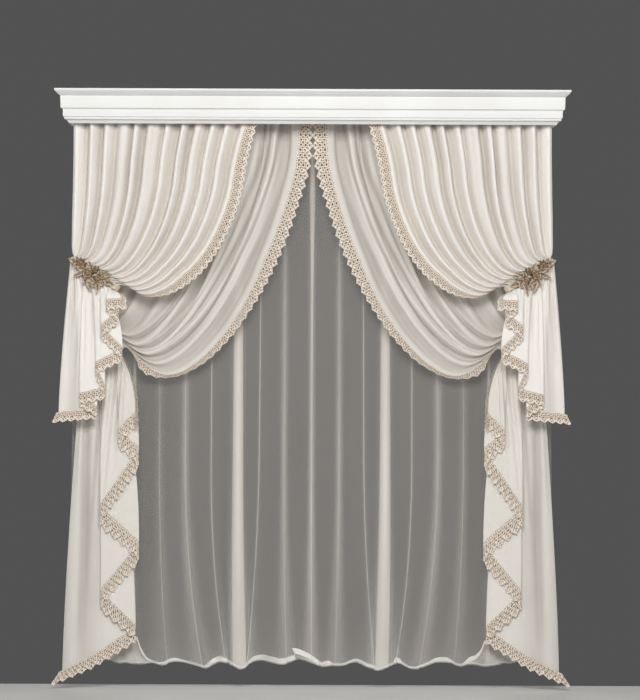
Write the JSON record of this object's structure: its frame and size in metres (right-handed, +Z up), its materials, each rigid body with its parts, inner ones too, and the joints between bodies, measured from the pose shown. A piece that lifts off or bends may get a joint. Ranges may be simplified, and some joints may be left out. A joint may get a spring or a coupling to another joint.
{
  "type": "pair of curtains on a ceiling track board with a pelmet",
  "caption": "Two layered pairs of tied-back voile curtains with scalloped lace edging over a sheer net panel, hung from a ceiling board behind a moulded white pelmet.",
  "frame": {"origin": "centre of the top face of the track board, where it meets the ceiling", "axes": "X across the window, -Y towards the room, +Z up through the ceiling face"},
  "size_m": [2.356, 0.3053, 2.695],
  "materials": {
    "white_paint": "satin white paint",
    "net": "fine sheer net",
    "ivory_voile": "semi-sheer ivory voile",
    "cream_voile": "semi-sheer cream voile",
    "ecru_lace": "ecru guipure lace",
    "fawn_ribbon": "fawn satin ribbon",
    "cream_ribbon": "cream satin ribbon",
    "umber_petal": "brown silk petals",
    "fawn_petal": "fawn silk leaves"
  },
  "bodies": {
    "root": {"track_board": "white_paint", "pelmet_front": "white_paint", "pelmet_return_left": "white_paint", "pelmet_return_right": "white_paint", "net_panel": "net", "front_drape_left": "ivory_voile", "back_drape_left": "cream_voile", "front_lace_left": "ecru_lace", "back_lace_left": "ecru_lace", "front_tie_left": "fawn_ribbon", "back_tie_left": "cream_ribbon", "rosette_1_left": "umber_petal", "rosette_2_left": "umber_petal", "rosette_3_left": "umber_petal", "rosette_4_left": "umber_petal", "leaf_1_left": "fawn_petal", "leaf_2_left": "fawn_petal", "leaf_3_left": "fawn_petal", "leaf_4_left": "fawn_petal", "leaf_5_left": "fawn_petal", "leaf_6_left": "fawn_petal", "leaf_7_left": "fawn_petal", "front_drape_right": "ivory_voile", "back_drape_right": "cream_voile", "front_lace_right": "ecru_lace", "back_lace_right": "ecru_lace", "front_tie_right": "fawn_ribbon", "back_tie_right": "cream_ribbon", "rosette_1_right": "umber_petal", "rosette_2_right": "umber_petal", "rosette_3_right": "umber_petal", "rosette_4_right": "umber_petal", "leaf_1_right": "fawn_petal", "leaf_2_right": "fawn_petal", "leaf_3_right": "fawn_petal", "leaf_4_right": "fawn_petal", "leaf_5_right": "fawn_petal", "leaf_6_right": "fawn_petal", "leaf_7_right": "fawn_petal"}
  },
  "joints": []
}
